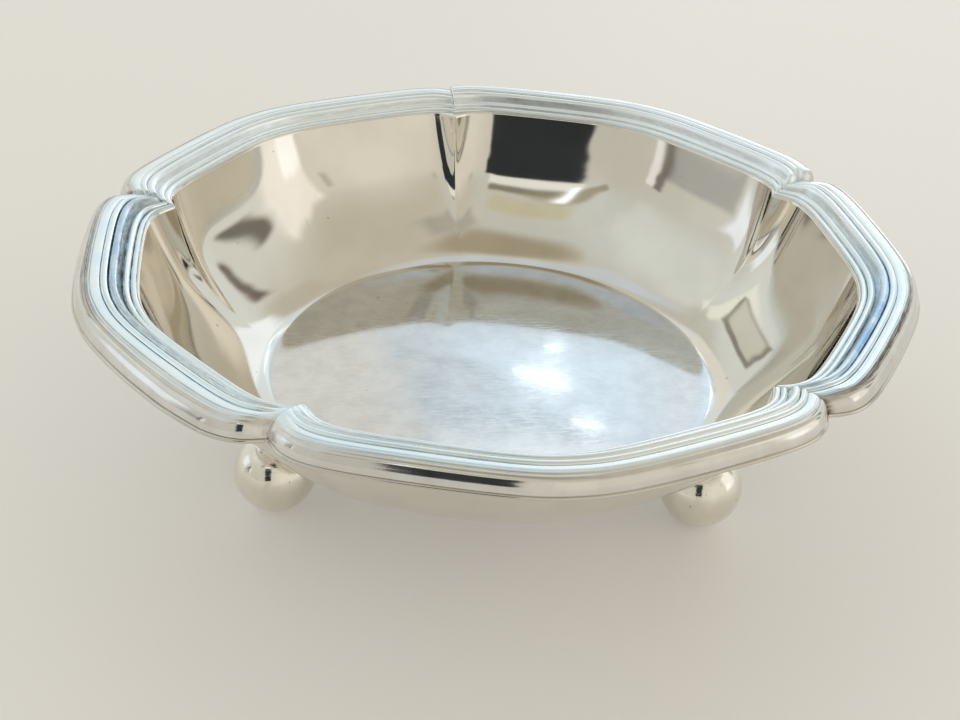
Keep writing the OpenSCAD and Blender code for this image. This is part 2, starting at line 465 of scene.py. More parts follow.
def make_border_section(name, k, kinds, height_share, softness, stain, streak):
    """Border section k from the rear notch, made from its row of SECTIONS."""
    steps = section_steps()
    a = REAR_NOTCH + k*LOBE_ANGLE + steps
    arc = np.radians(steps - steps[0])*RIM_FLAT_R
    ends = [ENDS[kind] for kind in kinds]
    across, up = border_profile()
    column = across[:, None]
    follow = np.where(steps < SIDE_ANGLE, ends[0].follow, ends[1].follow)
    edge = lobe_r(a) - follow*notch_cut(a)
    bulge = flare(a)[None, :]*np.maximum(1 - column/FLARE_END, 0)
    r = edge[None, :] + bulge - BORDER_LEDGE - column*(BORDER_W - 2*BORDER_LEDGE)
    shape = up[:, None]*(1 - softness) + melted_height(column, 0, "even")*softness + 0*r
    share = 1
    melt, dirt = 0*arc, 0*arc
    for e, end in zip((arc, arc[-1] - arc), ends):
        share = share*end_height(e, end)
        melted = end_melt(e, end)
        shape = shape*(1 - melted) + melted_height(column, e[None, :], end.melt_shape)*melted
        melt = np.maximum(melt, melted)
        dirt = dirt + end.dirt*np.exp(-(e/SEAM_DIRT_LENGTH)**2)
    z = RIM_Z + BORDER_H*height_share*np.maximum(shape*share, LEAST_SHARE)
    # Each ring runs over the reeds and back along the flange
    top = np.stack([r*cosd(a), r*sind(a), z], -1)
    base = np.stack([r*cosd(a), r*sind(a), RIM_Z + 0*z], -1)
    points = np.concatenate([top, base[::-1]]).transpose(1, 0, 2).reshape(-1, 3)
    n = 2*len(across)
    faces = strip_faces(len(a), n)
    points = wobbled(points, place=BORDER_WOBBLE_PLACE)
    section = mesh_object(name, points, faces, BORDER_SHARP_ANGLE)
    add_values(section, "across", np.tile(np.concatenate([across, across[::-1]]), len(a)))
    add_values(section, "along", np.repeat(arc + SECTION_STRIDE*k, n))
    for key, (place, reach, depth) in (("stain", stain), ("streak", streak)):
        add_values(section, key, np.repeat(depth*np.exp(-((arc/arc[-1] - place)/reach)**2), n))
    add_values(section, "melt", np.repeat(melt, n))
    add_values(section, "seam", np.repeat(dirt, n))
    return section


# Feet and solder

BALL_STEPS = 72
BALL_RINGS = 40
# Turn from the ball's middle to its highest ring, and the flat's inner ring as a share of its radius
BALL_TOP_TURN = 88
FLAT_RING_SHARE = 0.5
BALL_DENT = 0.02
BALL_DENT_LENGTH = 3.1
SOLDER_GRIP_D = 2.4
SOLDER_SPREAD_D = 4.2
SOLDER_STEPS = 40
SOLDER_RINGS = 6
# Rings of the solder's neck, as shares of the way up, and the share by which its waist is drawn in
NECK_PLACES = (0.25, 0.5, 0.75)
NECK_DEPTH = 0.14


def ball_of(node):
    """Middle of a foot's ball seen from above, its radius and the height of its middle, from its node."""
    low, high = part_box(node)
    centre = (low + high)/2/MM
    ball_r = (high.x - low.x)/2/MM
    return centre, ball_r, high.z/MM - ball_r


def make_foot(name, node, wobble_place):
    """Ball foot with a flat rubbed into its underside, at its node's place."""
    centre, ball_r, ball_z = ball_of(node)
    flat_turn = -math.degrees(math.asin(ball_z/ball_r))
    turn = np.linspace(flat_turn, BALL_TOP_TURN, BALL_RINGS)
    radii = np.concatenate([[FLAT_RING_SHARE*ball_r*cosd(flat_turn)], ball_r*cosd(turn)])
    heights = np.concatenate([[0], ball_z + ball_r*sind(turn)])
    r = np.repeat(radii[:, None], BALL_STEPS, 1)
    z = np.repeat(heights[:, None], BALL_STEPS, 1)
    points = rings_of(r, z, np.arange(BALL_STEPS)*360/BALL_STEPS)
    points = np.vstack([points, [0, 0, heights[0]], [0, 0, heights[-1]]])
    points = wobbled(points, BALL_DENT, BALL_DENT_LENGTH, wobble_place)
    points[:, 2] = np.maximum(points[:, 2], 0)
    points = points + np.array([centre.x, centre.y, 0])
    return mesh_object(name, points, turned_faces(BALL_STEPS, len(radii)))


def underside_z(r, a):
    """Height of the bowl's underside near the floor, where no crease reaches."""
    reach = lobe_r(a) - BORDER_W + WALL_T - FLOOR_R
    spread = np.clip((r - FLOOR_R)/reach, 0, 1)
    rise = 1 - (1 - spread**WALL_FULLNESS)**(1/WALL_FULLNESS)
    return FLOOR_UNDER_Z + (FLANGE_UNDER_Z - FLOOR_UNDER_Z)*rise


def make_solder(name, foot_node):
    """Solder between a ball and the bowl: it sits on the ball and spreads on the underside."""
    centre, ball_r, ball_z = ball_of(foot_node)
    turn = np.arange(SOLDER_STEPS)*360/SOLDER_STEPS
    grip, spread = SOLDER_GRIP_D/2, SOLDER_SPREAD_D/2

    def ring(d, height_at):
        x, y = centre.x + d*cosd(turn), centre.y + d*sind(turn)
        return np.stack([x, y, height_at(d, x, y)], -1)

    def on_ball(d, x, y):
        return ball_z + np.sqrt(ball_r**2 - d*d) + 0*x

    def on_bowl(d, x, y):
        return underside_z(np.hypot(x, y), np.degrees(np.arctan2(y, x)))

    shares = (np.arange(SOLDER_RINGS) + 1)/SOLDER_RINGS
    ball_side = [ring(grip*s, on_ball) for s in shares]
    bowl_side = [ring(spread*s, on_bowl) for s in shares[::-1]]
    middle = np.array([centre.x, centre.y, 0])
    neck = []
    for s in NECK_PLACES:
        edge = ball_side[-1]*(1 - s) + bowl_side[0]*s
        neck.append(edge + (middle - edge)*[1, 1, 0]*NECK_DEPTH*sind(180*s))
    rings = np.stack(ball_side + neck + bowl_side, 1)
    low_pole = [centre.x, centre.y, ball_z + ball_r]
    high_pole = [centre.x, centre.y, float(underside_z(np.hypot(centre.x, centre.y), 0))]
    points = np.vstack([rings.reshape(-1, 3), low_pole, high_pole])
    return mesh_object(name, points, turned_faces(SOLDER_STEPS, rings.shape[1]))


# Materials

# Ranges of a noise over which colours and roughness change
NOISE_RANGE = (0.35, 0.65)
WIDE_NOISE_RANGE = (0.3, 0.7)


def add_node(tree, kind, inputs=None, **settings):
    """New shader node, with its settings and its inputs set or linked."""
    made = tree.nodes.new(kind)
    for key, value in settings.items():
        setattr(made, key, value)
    for key, value in (inputs or {}).items():
        if isinstance(value, bpy.types.NodeSocket):
            tree.links.new(value, made.inputs[key])
        else:
            made.inputs[key].default_value = value
    return made


def maths(tree, operation, *values):
    """Result of one operation on numbers or sockets."""
    return add_node(tree, "ShaderNodeMath", dict(enumerate(values)), operation=operation).outputs[0]


def joined(tree, operation, values):
    """Result of an operation that takes in the values one after another."""
    total = values[0]
    for value in values[1:]:
        total = maths(tree, operation, total, value)
    return total


def product(tree, *values):
    return joined(tree, "MULTIPLY", values)


def largest(tree, *values):
    return joined(tree, "MAXIMUM", values)


def mixed(tree, factor, low, high):
    """Colour between two colours or colour sockets."""
    made = add_node(tree, "ShaderNodeMix", {"Factor": factor}, data_type="RGBA")
    for socket, value in ((made.inputs[6], low), (made.inputs[7], high)):
        if isinstance(value, bpy.types.NodeSocket):
            tree.links.new(value, socket)
        else:
            socket.default_value = (*value, 1)
    return made.outputs[2]


def mapped(tree, value, from_low, from_high, to_low=0.0, to_high=1.0):
    """Value carried smoothly from one range to another, and held at its ends."""
    limits = {"From Min": from_low, "From Max": from_high, "To Min": to_low, "To Max": to_high}
    inputs = {"Value": value, **limits}
    return add_node(tree, "ShaderNodeMapRange", inputs, interpolation_type="SMOOTHSTEP").outputs["Result"]


def band(tree, value, low, high, soft):
    """One between two limits of a value and zero outside, with soft edges."""
    rise = mapped(tree, value, low - soft/2, low + soft/2)
    fall = mapped(tree, value, high - soft/2, high + soft/2, 1.0, 0.0)
    return product(tree, rise, fall)


def noise_at(tree, place, scale, detail=2.0, roughness=0.5):
    """Soft noise from 0 to 1; the larger the scale, the smaller its patches."""
    inputs = {"Vector": place, "Scale": scale, "Detail": detail, "Roughness": roughness}
    return add_node(tree, "ShaderNodeTexNoise", inputs).outputs["Fac"]


def attribute(tree, name):
    """Number that add_values has stored on the mesh."""
    return add_node(tree, "ShaderNodeAttribute", attribute_name=name).outputs["Fac"]


def scratches(tree, place, turns, length, width, low, high):
    """Fine hair scratches in several directions, from 0 to 1."""
    lines = []
    for turn in turns:
        turned = {"Vector": place, "Rotation": (0, 0, math.radians(turn))}
        stretched = {**turned, "Scale": (1/length, 1/width, 1/width)}
        along = add_node(tree, "ShaderNodeMapping", stretched).outputs[0]
        lines.append(mapped(tree, noise_at(tree, along, 1.0, 2.0, 0.6), low, high))
    return largest(tree, *lines)


def bump(tree, height, depth, strength=1.0, normal=None):
    """Normal of a surface whose relief has a given depth."""
    inputs = {"Height": height, "Distance": depth*MM, "Strength": strength}
    if normal is not None:
        inputs["Normal"] = normal
    return add_node(tree, "ShaderNodeBump", inputs).outputs[0]


def new_metal(name):
    """New material with a metal shader, and the object's own coordinates in millimetres."""
    made = bpy.data.materials.new(name)
    made.use_nodes = True
    tree = made.node_tree
    tree.nodes.clear()
    shader = add_node(tree, "ShaderNodeBsdfPrincipled", {"Metallic": 1.0})
    output = add_node(tree, "ShaderNodeOutputMaterial")
    tree.links.new(shader.outputs[0], output.inputs[0])
    scaled = {0: add_node(tree, "ShaderNodeTexCoord").outputs["Object"], "Scale": 1/MM}
    place = add_node(tree, "ShaderNodeVectorMath", scaled, operation="SCALE").outputs[0]
    return made, tree, shader, place


def finish_metal(tree, shader, colour, roughness, normal):
    """Links a metal's colour, roughness and normal to its shader."""
    for name, value in (("Base Color", colour), ("Roughness", roughness), ("Normal", normal)):
        tree.links.new(value, shader.inputs[name])


# Silver of the bowl

WALL_COLOURS = ((0.745, 0.715, 0.65), (0.80, 0.77, 0.71))
WALL_ROUGHNESS = (0.04, 0.08)
BOWL_FLOOR_COLOURS = ((0.61, 0.62, 0.625), (0.695, 0.71, 0.715))
BOWL_FLOOR_ROUGHNESS = (0.03, 0.05)
# Hair scratches: their directions, length, width and depth
SCRATCH_TURNS = (8, 52, -34, 81, 127, -71)
SCRATCH_LENGTH = 2.2
SCRATCH_W = 0.10
SCRATCH_DEPTH = 0.0006
SCRATCH_COLOUR = (0.86, 0.88, 0.90)
# Distances in from the flange's edge: where its darker, warmer tint fades, and the dark band's start, end
# and softness
EDGE_TINT_RANGE = (0.05, 0.22)
# The dark band at the border's foot is partly dirt and partly painted shade
DIRT_AND_SHADE_BAND = (0.2, 0.6, 0.1)
EDGE_TINT_COLOUR = (0.56, 0.53, 0.49)
DIRT_AND_SHADE_COLOUR = (0.10, 0.08, 0.055)
BOWL_SPECK_COLOUR = (0.20, 0.17, 0.13)


def bowl_silver():
    """Polished wall and flange, and a satin floor with fine scratches."""
    made, tree, shader, place = new_metal("bowl_silver")
    floor = attribute(tree, "on_floor")
    from_edge = attribute(tree, "from_edge")
    cloud = noise_at(tree, place, 0.12, 3.0)
    mottle = noise_at(tree, place, 0.42, 4.0, 0.65)
    fine = scratches(tree, place, SCRATCH_TURNS, SCRATCH_LENGTH, SCRATCH_W, 0.55, 0.78)
    wall_colour = mixed(tree, mapped(tree, cloud, *NOISE_RANGE), *WALL_COLOURS)
    floor_colour = mixed(tree, mapped(tree, mottle, *WIDE_NOISE_RANGE), *BOWL_FLOOR_COLOURS)
    floor_colour = mixed(tree, product(tree, fine, 0.3), floor_colour, SCRATCH_COLOUR)
    colour = mixed(tree, floor, wall_colour, floor_colour)
    # Darker, warmer edge of the flange, a dark band at the border's foot that is partly dirt and partly
    # painted shade, and a few dark specks
    edge_tint = mapped(tree, from_edge, *EDGE_TINT_RANGE, 1.0, 0.0)
    colour = mixed(tree, product(tree, edge_tint, 0.6), colour, EDGE_TINT_COLOUR)
    patchy = mapped(tree, mottle, 0.35, 0.6, 0.6, 1.0)
    dirt_and_shade = product(tree, band(tree, from_edge, *DIRT_AND_SHADE_BAND), attribute(tree, "dirt_and_shade"), patchy)
    colour = mixed(tree, dirt_and_shade, colour, DIRT_AND_SHADE_COLOUR)
    specks = mapped(tree, noise_at(tree, place, 1.1, 2.0), 0.76, 0.80)
    colour = mixed(tree, product(tree, specks, 0.55), colour, BOWL_SPECK_COLOUR)
    wall_rough = mapped(tree, cloud, *WIDE_NOISE_RANGE, *WALL_ROUGHNESS)
    floor_rough = mapped(tree, mottle, *WIDE_NOISE_RANGE, *BOWL_FLOOR_ROUGHNESS)
    floor_rough = maths(tree, "ADD", floor_rough, product(tree, fine, 0.12))
    rough = add_node(tree, "ShaderNodeMix", {0: floor, 2: wall_rough, 3: floor_rough}).outputs[0]
    relief = product(tree, fine, mapped(tree, floor, 0, 1, 0.15, 0.5))
    finish_metal(tree, shader, colour, rough, bump(tree, relief, SCRATCH_DEPTH))
    return made


# Silver of the border

# Tarnished valleys across the border: middle, half width and depth
VALLEYS = (
    (0.180, 0.014, 0.7),
    (0.265, 0.012, 0.6),
    (0.412, 0.010, 0.85),
    (0.537, 0.011, 0.9),
    (0.73, 0.036, 0.8),
    (0.882, 0.010, 0.8),
    (0.988, 0.013, 0.9),
)
# Share of a valley's half width that is dark throughout
VALLEY_CORE = 0.3
# Shares across the border between which the moulding's finish gives way to that of the reeds
REEDS_START = (0.17, 0.26)
# Bands across the border: start, end and softness
MOULDING_TOP_BAND = (0.15, 0.24, 0.02)
THIRD_REED_FILM_BAND = (0.53, 0.72, 0.05)
THIRD_REED_MOTTLED_BAND = (0.56, 0.70, 0.05)
SHELF_BAND = (0.67, 0.765, 0.05)
# How finely the tarnish is streaked: for each millimetre along the border, and for its whole width
STREAKS_ALONG = 0.5
STREAKS_ACROSS = 36
MOULDING_COLOURS = ((0.69, 0.67, 0.635), (0.77, 0.76, 0.73))
# Reed colours: blue-white silver, partly a painted reflection of cool light; the clean reed colour is
# paler, partly a painted sheen
REED_SILVER_AND_COOL_SHEEN_COLOURS = ((0.80, 0.92, 0.995), (0.89, 0.97, 1.0))
CLEAN_REED_SILVER_AND_SHEEN_COLOUR = (0.93, 0.98, 1.0)
FILM_COLOUR = (0.30, 0.52, 0.80)
# The moulding's tarnish colour also paints the dark band at the moulding's top, which is partly a painted
# dark reflection
MOULDING_TARNISH_AND_DARK_REFLECTION_COLOUR = (0.17, 0.13, 0.08)
REED_TARNISH_COLOUR = (0.12, 0.13, 0.14)
BORDER_ROUGHNESS = (0.07, 0.12)
SPECKLE_DEPTH = 0.008
LUMP_DEPTH = 0.2


def border_silver():
    """Polished outer moulding and frosty reeds, with dark valleys, blackened streaks, a blue film, a
    painted cool sheen on the reeds and a painted dark reflection at the top of the moulding.
    """
    made, tree, shader, place = new_metal("border_silver")
    across = attribute(tree, "across")
    stain = attribute(tree, "stain")
    streak_depth = maths(tree, "MINIMUM", attribute(tree, "streak"), 1.0)
    melt = attribute(tree, "melt")
    patches = noise_at(tree, place, 0.22, 3.0, 0.6)
    patchy = mapped(tree, patches, *NOISE_RANGE)
    speckle = noise_at(tree, place, 2.6, 3.0, 0.7)
    lengthwise = product(tree, attribute(tree, "along"), STREAKS_ALONG)
    crosswise = product(tree, across, STREAKS_ACROSS)
    unrolled = add_node(tree, "ShaderNodeCombineXYZ", {0: lengthwise, 1: crosswise}).outputs[0]
    streaks = noise_at(tree, unrolled, 1.0, 4.0, 0.75)
    # Moulding and reeds, which are paler where they are clean, partly with a painted sheen, and a blue film
    # on the third reed; the reeds' blue-white is partly a painted reflection of cool light
    reeds = mapped(tree, across, *REEDS_START)
    reed_silver_and_sheen = mixed(tree, patchy, *REED_SILVER_AND_COOL_SHEEN_COLOURS)
    reed_silver_and_sheen = mixed(tree, mapped(tree, stain, 0.0, 0.15, 0.9, 0.0), reed_silver_and_sheen, CLEAN_REED_SILVER_AND_SHEEN_COLOUR)
    colour = mixed(tree, reeds, mixed(tree, patchy, *MOULDING_COLOURS), reed_silver_and_sheen)
    film = product(tree, band(tree, across, *THIRD_REED_FILM_BAND), streak_depth)
    film = product(tree, film, mapped(tree, patches, 0.38, 0.58, 0.3, 1.0), 0.9)
    colour = mixed(tree, film, colour, FILM_COLOUR)
    # Dark valleys, fainter where the border is clean and gone where the reeds have melted
    lines = []
    for centre, half, depth in VALLEYS:
        gap = maths(tree, "ABSOLUTE", maths(tree, "SUBTRACT", across, centre))
        lines.append(product(tree, mapped(tree, gap, half*VALLEY_CORE, half, 1.0, 0.0), depth))
    broken = mapped(tree, streaks, 0.35, 0.6, 0.5, 1.0)
    strength = mapped(tree, stain, 0.0, 1.0, 0.38, 1.0)
    unmelted = mapped(tree, melt, 0.0, 0.8, 1.0, 0.0)
    valleys = product(tree, largest(tree, *lines), broken, strength, unmelted)
    # Tarnish at the top of the moulding, partly a painted dark reflection, in the deepest valley and in the
    # seams, and grey mottling on the third reed where it has no film
    grain = mapped(tree, streaks, 0.40, 0.60)
    top = product(tree, band(tree, across, *MOULDING_TOP_BAND), streak_depth)
    top = product(tree, top, mapped(tree, grain, 0.0, 1.0, 0.55, 1.0))
    shelf = product(tree, band(tree, across, *SHELF_BAND), stain, mapped(tree, grain, 0.0, 1.0, 0.35, 0.95))
    seam = product(tree, attribute(tree, "seam"), mapped(tree, across, 0.05, 0.45, 1.0, 0.15), broken)
    unstreaked = maths(tree, "SUBTRACT", 1.0, streak_depth)
    mottled = product(tree, band(tree, across, *THIRD_REED_MOTTLED_BAND), stain, unstreaked)
    mottled = product(tree, mottled, mapped(tree, grain, 0.0, 1.0, 0.15, 0.65))
    dark = largest(tree, valleys, top, shelf, seam, mottled)
    tarnish_and_dark_reflection = mixed(tree, mapped(tree, across, 0.25, 0.32), MOULDING_TARNISH_AND_DARK_REFLECTION_COLOUR, REED_TARNISH_COLOUR)
    colour = mixed(tree, dark, colour, tarnish_and_dark_reflection)
    # Rougher on the reeds, in the tarnish and where the reeds have melted
    rough = mapped(tree, patches, *WIDE_NOISE_RANGE, *BORDER_ROUGHNESS)
    frost = mapped(tree, patches, *NOISE_RANGE, 0.0, 0.08)
    frost = maths(tree, "ADD", frost, mapped(tree, stain, 0.0, 0.6, 0.16, 0.07))
    for more in (product(tree, reeds, frost), product(tree, dark, 0.2), product(tree, melt, 0.2)):
        rough = maths(tree, "ADD", rough, more)
    lumps = product(tree, noise_at(tree, place, 0.9, 3.0, 0.6), melt)
    lumpy = bump(tree, lumps, LUMP_DEPTH, 0.8)
    relief = product(tree, speckle, mapped(tree, melt, 0.0, 1.0, 0.3, 2.0))
    finish_metal(tree, shader, colour, rough, bump(tree, relief, SPECKLE_DEPTH, 0.7, lumpy))
    return made


# Silver of the feet, and solder

FOOT_COLOURS = ((0.80, 0.77, 0.69), (0.86, 0.83, 0.76))
FOOT_SPECK_COLOUR = (0.14, 0.12, 0.10)
FOOT_ROUGHNESS = (0.05, 0.12)
FOOT_SCRATCH_TURNS = (20, 75)
FOOT_SCRATCH_LENGTH = 3.0
FOOT_SCRATCH_W = 0.15
FOOT_SCRATCH_DEPTH = 0.006
SOLDER_COLOURS = ((0.52, 0.50, 0.46), (0.70, 0.68, 0.64))
SOLDER_ROUGHNESS = (0.28, 0.45)
SOLDER_GRAIN_DEPTH = 0.05


def foot_silver():
    """Polished silver with dark specks and a few scratches."""
    made, tree, shader, place = new_metal("foot_silver")
    cloud = noise_at(tree, place, 0.35, 3.0)
    colour = mixed(tree, mapped(tree, cloud, *NOISE_RANGE), *FOOT_COLOURS)
    specks = mapped(tree, noise_at(tree, place, 1.6, 3.0), 0.68, 0.75)
    colour = mixed(tree, product(tree, specks, 0.7), colour, FOOT_SPECK_COLOUR)
    rough = mapped(tree, cloud, *WIDE_NOISE_RANGE, *FOOT_ROUGHNESS)
    fine = scratches(tree, place, FOOT_SCRATCH_TURNS, FOOT_SCRATCH_LENGTH, FOOT_SCRATCH_W, 0.58, 0.75)
    finish_metal(tree, shader, colour, rough, bump(tree, fine, FOOT_SCRATCH_DEPTH, 0.6))
    return made


def solder_grey():
    """Dull and grainy solder."""
    made, tree, shader, place = new_metal("solder")
    grain = noise_at(tree, place, 3.0, 4.0, 0.7)
    colour = mixed(tree, mapped(tree, grain, *WIDE_NOISE_RANGE), *SOLDER_COLOURS)
    rough = mapped(tree, grain, *WIDE_NOISE_RANGE, *SOLDER_ROUGHNESS)
    finish_metal(tree, shader, colour, rough, bump(tree, grain, SOLDER_GRAIN_DEPTH, 0.6))
    return made


# Pieces of the object

NO_STREAK = (0.5, 0.5, 0)
# Border sections: node, place from the rear notch, kinds of the two ends, share of the border's height, how
# soft the reeds are, and the tarnish and the streak beside the moulding, whose dark band is partly a
# painted dark reflection. These two are each a place and a reach, as shares of the section's length, and a
# depth
SECTIONS = (
    ("border_back_left", 0, ("plain", "square"), 0.95, 0.35, (0.5, 0.6, 0.05), NO_STREAK),
    ("border_left", 1, ("low", "merged"), 1, 0, (0.45, 0.60, 1), (0.30, 0.26, 0.7)),
    ("border_front", 2, ("melted", "rounded"), 1, 0.05, (0.1, 0.3, 0.3), NO_STREAK),
    ("border_right", 3, ("dirty", "low"), 1, 0.05, (0.22, 0.28, 1), (0.24, 0.27, 1.3)),
    ("border_back_right", 4, ("knobbed", "straight"), 1.17, 0.35, (0.5, 0.6, 0.0), NO_STREAK),
)
FOOT_SIDES = ("front_left", "front_right", "rear")


def dress(piece, material, slot, *nodes):
    """Gives a piece its material and its body, and hides the nodes that it stands for; the slot is not
    used.
    """
    piece.data.materials.append(material)
    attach(piece, "root")
    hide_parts(*nodes)


def make_object():
    """Bowl, border sections, feet and solder, each with its metal."""
    bowl_metal, border_metal = bowl_silver(), border_silver()
    foot_metal, solder_metal = foot_silver(), solder_grey()
    dress(make_bowl(), bowl_metal, "bowl_silver", "bowl")
    for node, *settings in SECTIONS:
        piece = make_border_section("reeded_" + node, *settings)
        dress(piece, border_metal, "border_silver", node)
    for i, side in enumerate(FOOT_SIDES):
        foot, solder = "foot_" + side, "solder_" + side
        ball = make_foot("ball_" + side, foot, i + FOOT_WOBBLE_PLACE)
        dress(ball, foot_metal, "foot_silver", foot)
        dress(make_solder("joint_" + side, foot), solder_metal, "solder", solder)


# Studio floor

STUDIO_FLOOR_HALF = 4000
STUDIO_FLOOR_COLOUR = (0.80, 0.775, 0.74)
STUDIO_FLOOR_ROUGHNESS = 0.45
# The floor's colour falls to this share of itself in soft patches, so many to the metre
PATCH_SHADE = 0.985
PATCHES_PER_METRE = 9.0
# Seen directly or mirrored, the floor is a little paler than its own light, by this much
FLOOR_LIFT = 0.2


def make_floor():
    """Wide pale floor under the object."""
    half = STUDIO_FLOOR_HALF
    corners = [(-half, -half, 0), (half, -half, 0), (half, half, 0), (-half, half, 0)]
    floor = mesh_object("floor", corners, [(0, 1, 2, 3)])
    made = bpy.data.materials.new("pale_floor")
    made.use_nodes = True
    tree = made.node_tree
    shader = tree.nodes["Principled BSDF"]
    coordinates = add_node(tree, "ShaderNodeTexCoord").outputs["Object"]
    cloud = noise_at(tree, coordinates, PATCHES_PER_METRE, 3.0)
    shade = [PATCH_SHADE*c for c in STUDIO_FLOOR_COLOUR]
    tree.links.new(mixed(tree, cloud, shade, STUDIO_FLOOR_COLOUR), shader.inputs["Base Color"])
    shader.inputs["Roughness"].default_value = STUDIO_FLOOR_ROUGHNESS
    rays = add_node(tree, "ShaderNodeLightPath").outputs
    seen = largest(tree, rays["Is Camera Ray"], rays["Is Glossy Ray"], rays["Is Transmission Ray"])
    glow = {"Color": (*STUDIO_FLOOR_COLOUR, 1), "Strength": product(tree, seen, FLOOR_LIFT)}
    lift = add_node(tree, "ShaderNodeEmission", glow)
    both = add_node(tree, "ShaderNodeAddShader", {0: shader.outputs[0], 1: lift.outputs[0]})
    tree.links.new(both.outputs[0], tree.nodes["Material Output"].inputs[0])
    floor.data.materials.append(made)


# Light

def direction(azimuth, elevation):
    """Unit vector at an azimuth clockwise from +Y and an elevation."""
    a, e = math.radians(azimuth), math.radians(elevation)
    return Vector((math.sin(a)*math.cos(e), math.cos(a)*math.cos(e), math.sin(e)))


def view_axes(azimuth, elevation, turn):
    """Unit vectors ahead, to the right and up, for a view that is turned about its own direction."""
    ahead = direction(azimuth, elevation)
    level = direction(azimuth + 90, 0)
    upright = level.cross(ahead)
    c, s = math.cos(math.radians(turn)), math.sin(math.radians(turn))
    return ahead, level*c + upright*s, upright*c - level*s


# A panel fades out towards the half of the sky behind it, where its mirror image would lie
BEHIND_FADE = 0.05


def patch(tree, place, azimuth, elevation, turn, half_w, half_h, soft):
    """Soft rectangle on the sky, 1 inside and 0 outside; its turn and sizes are in degrees."""
    forward, right, up = view_axes(azimuth, elevation, turn)

    def along(axis):
        inputs = {0: place, 1: axis}
        return add_node(tree, "ShaderNodeVectorMath", inputs, operation="DOT_PRODUCT").outputs["Value"]

    ahead = along(forward)
    mask = mapped(tree, ahead, 0.0, BEHIND_FADE)
    for axis, half in ((right, half_w), (up, half_h)):
        angle = maths(tree, "ABSOLUTE", maths(tree, "ARCTAN2", along(axis), ahead))
        limits = math.radians(half - soft/2), math.radians(half + soft/2)
        mask = product(tree, mask, mapped(tree, angle, *limits, 1.0, 0.0))
    return mask


SKY_STRENGTH = 1.05
NEAR_LEFT_COLOUR = (0.63, 0.61, 0.55)
NEAR_RIGHT_COLOUR = (0.80, 0.76, 0.66)
FAR_COLOUR = (0.76, 0.79, 0.76)
CEILING_LEFT_COLOUR = (0.66, 0.685, 0.65)
CEILING_RIGHT_COLOUR = (0.60, 0.565, 0.47)
ZENITH_COLOUR = (0.41, 0.36, 0.26)
# Parts of a direction over which the sky changes: left to right, near to far, low sky to ceiling to zenith
RIGHT_RANGE = (-0.6, 0.4)
FAR_RANGE = (-0.5, 0.8)
CEILING_RANGE = (0.45, 0.80)
ZENITH_RANGE = (0.945, 0.99)
# How far the edges of the panels wander, and how finely
WANDER = 0.11
WANDER_SCALE = 5.0
# Soft panels and flags: azimuth clockwise from +Y, elevation, turn, half width, half height, softness,
# the share by which they cover the sky, and colour
PANELS = (
    (-72, 47, 0, 22, 12, 12, 0.7, (0.78, 0.82, 0.79)),
    (-20, 42, 0, 12, 7, 7, 0.25, (0.42, 0.355, 0.26)),
    (32, 44, 0, 16, 7, 7, 0.25, (0.42, 0.355, 0.26)),
    (-37.5, 30, 0, 5, 12, 3, 0.9, (0.94, 0.96, 0.87)),
    (8, 30, 0, 14, 12, 5, 0.95, (0.81, 0.88, 0.915)),
    (30, 28, 0, 9, 11, 4, 0.95, (1.04, 1.11, 1.17)),
    (-1, 32, 0, 6, 8, 4, 0.9, (0.87, 0.835, 0.745)),
    (14, 32.5, 0, 3.8, 2.6, 2.5, 0.9, (0.96, 1.12, 1.24)),
    (8.3, 32.6, 0, 2.0, 0.5, 0.6, 0.8, (0.67, 0.735, 0.76)),
    (11.0, 34.25, 0, 3.4, 0.5, 0.6, 0.8, (0.62, 0.72, 0.78)),
    (12, 35.5, 0, 3.8, 0.5, 0.6, 0.75, (1.35, 1.4, 1.4)),
    (-4, 62, 0, 15, 9, 6, 0.8, (0.64, 0.71, 0.79)),
    (150, 68, 0, 10, 7, 6, 0.7, (0.40, 0.38, 0.33)),
    (27, 7, 0, 15, 5, 4, 1.0, (2.0, 2.1, 2.2)),
    (201.5, 21, 0, 8.5, 17, 2, 0.98, (0.02, 0.025, 0.028)),
    (204, 42, 0, 7.5, 3.6, 2.0, 0.9, (0.93, 0.93, 0.88)),
    (204, 48, 0, 6.5, 1.6, 1.8, 0.8, (0.16, 0.13, 0.07)),
    (205.5, 56.5, 0, 7, 4.5, 5, 0.8, (0.60, 0.56, 0.38)),
    (220, 44, -49, 10, 3.0, 3, 0.75, (0.31, 0.26, 0.16)),
    (212.5, 47, 0, 0.8, 4.8, 0.8, 1.0, (1.5, 1.6, 1.65)),
    (103, 20, 0, 17, 18, 6, 0.95, (1.06, 1.01, 0.93)),
    (112, 9, 0, 7, 5, 5, 0.9, (1.24, 1.24, 1.2)),
    (79, 19, 0, 2.6, 7, 3, 0.85, (0.10, 0.085, 0.06)),
    (63, 28, -56, 9, 2, 3, 0.85, (0.10, 0.06, 0.04)),
    (131, 25, 0, 1.5, 5, 2.5, 0.6, (0.42, 0.40, 0.34)),
    (165, 38, 0, 4, 3, 4, 0.6, (0.52, 0.50, 0.44)),
    (330, 24.5, -42, 8.2, 6.2, 1.2, 0.8, (0.16, 0.15, 0.11)),
    (329.4, 23.7, -42, 6.4, 4.6, 1.2, 0.9, (0.70, 0.70, 0.62)),
    (285, 15, 0, 10, 9, 5, 0.9, (0.99, 1.06, 1.12)),
    (267, 9, 0, 5, 5, 3, 0.75, (0.38, 0.38, 0.37)),
    (257, 13, 0, 2.2, 8, 2, 0.8, (1.0, 1.0, 0.97)),
    (261.5, 13, 0, 1.4, 9, 1.5, 0.8, (0.14, 0.12, 0.11)),
)


